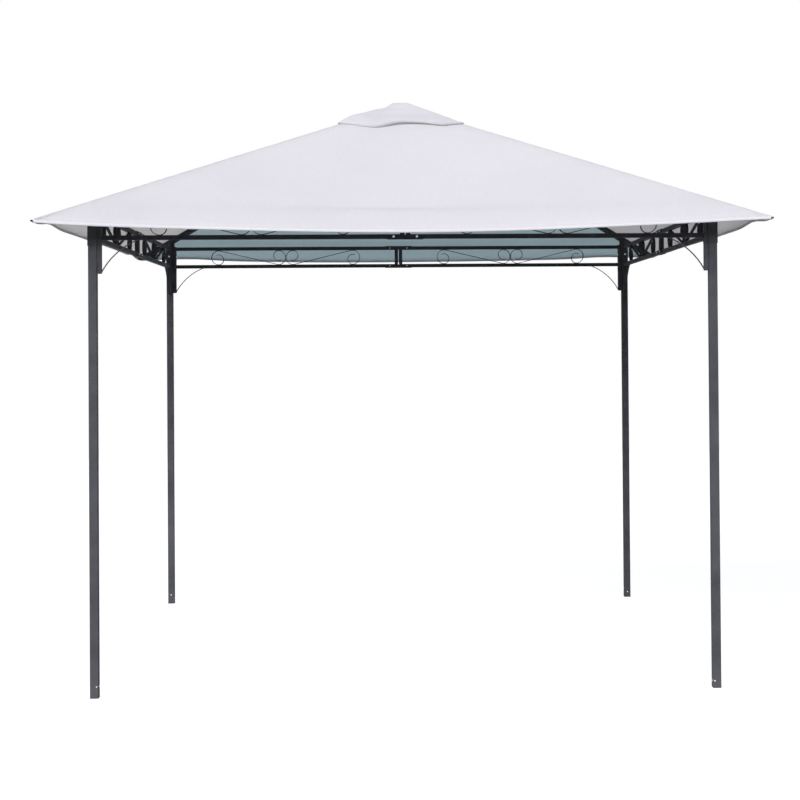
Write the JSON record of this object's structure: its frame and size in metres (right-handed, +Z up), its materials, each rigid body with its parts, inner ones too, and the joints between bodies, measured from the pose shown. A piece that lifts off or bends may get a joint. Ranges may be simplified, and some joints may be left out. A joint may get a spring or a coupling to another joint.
{
  "type": "garden gazebo",
  "caption": "Square garden gazebo with slim steel posts, scrollwork side panels, hip rafters and a pale fabric canopy with a vented peak.",
  "frame": {"origin": "on the ground, at the middle of the four posts", "axes": "+Z up, -Y towards the front, +X to the right seen from the front"},
  "size_m": [3, 3, 2.6372],
  "materials": {
    "canopy_cloth": "plain woven polyester, pale grey-white",
    "vent_cloth": "plain woven polyester, pale grey-white",
    "foot_plastic": "moulded, fine matt",
    "bracket_plastic": "moulded, fine matt",
    "roof_fitting_plastic": "moulded, fine matt",
    "joiner_steel": "satin powder coat",
    "post_steel": "satin powder coat, dark grey",
    "rafter_steel": "satin powder coat",
    "panel_steel": "satin powder coat"
  },
  "bodies": {
    "root": {"canopy_back": "canopy_cloth", "canopy_front": "canopy_cloth", "canopy_left": "canopy_cloth", "canopy_right": "canopy_cloth", "corner_bracket_back_left": "bracket_plastic", "corner_bracket_back_right": "bracket_plastic", "corner_bracket_front_left": "bracket_plastic", "corner_bracket_front_right": "bracket_plastic", "crown_hub": "roof_fitting_plastic", "foot_back_left": "foot_plastic", "foot_back_right": "foot_plastic", "foot_front_left": "foot_plastic", "foot_front_right": "foot_plastic", "joiner_back": "joiner_steel", "joiner_front": "joiner_steel", "joiner_left": "joiner_steel", "joiner_right": "joiner_steel", "panel_back": "panel_steel", "panel_front": "panel_steel", "panel_left": "panel_steel", "panel_right": "panel_steel", "post_back_left": "post_steel", "post_back_right": "post_steel", "post_front_left": "post_steel", "post_front_right": "post_steel", "rafter_back_left": "rafter_steel", "rafter_back_right": "rafter_steel", "rafter_front_left": "rafter_steel", "rafter_front_right": "rafter_steel", "rafter_tips": "roof_fitting_plastic", "uprights_back": "panel_steel", "uprights_front": "panel_steel", "uprights_left": "panel_steel", "uprights_right": "panel_steel", "vent_cap": "vent_cloth"}
  },
  "joints": []
}
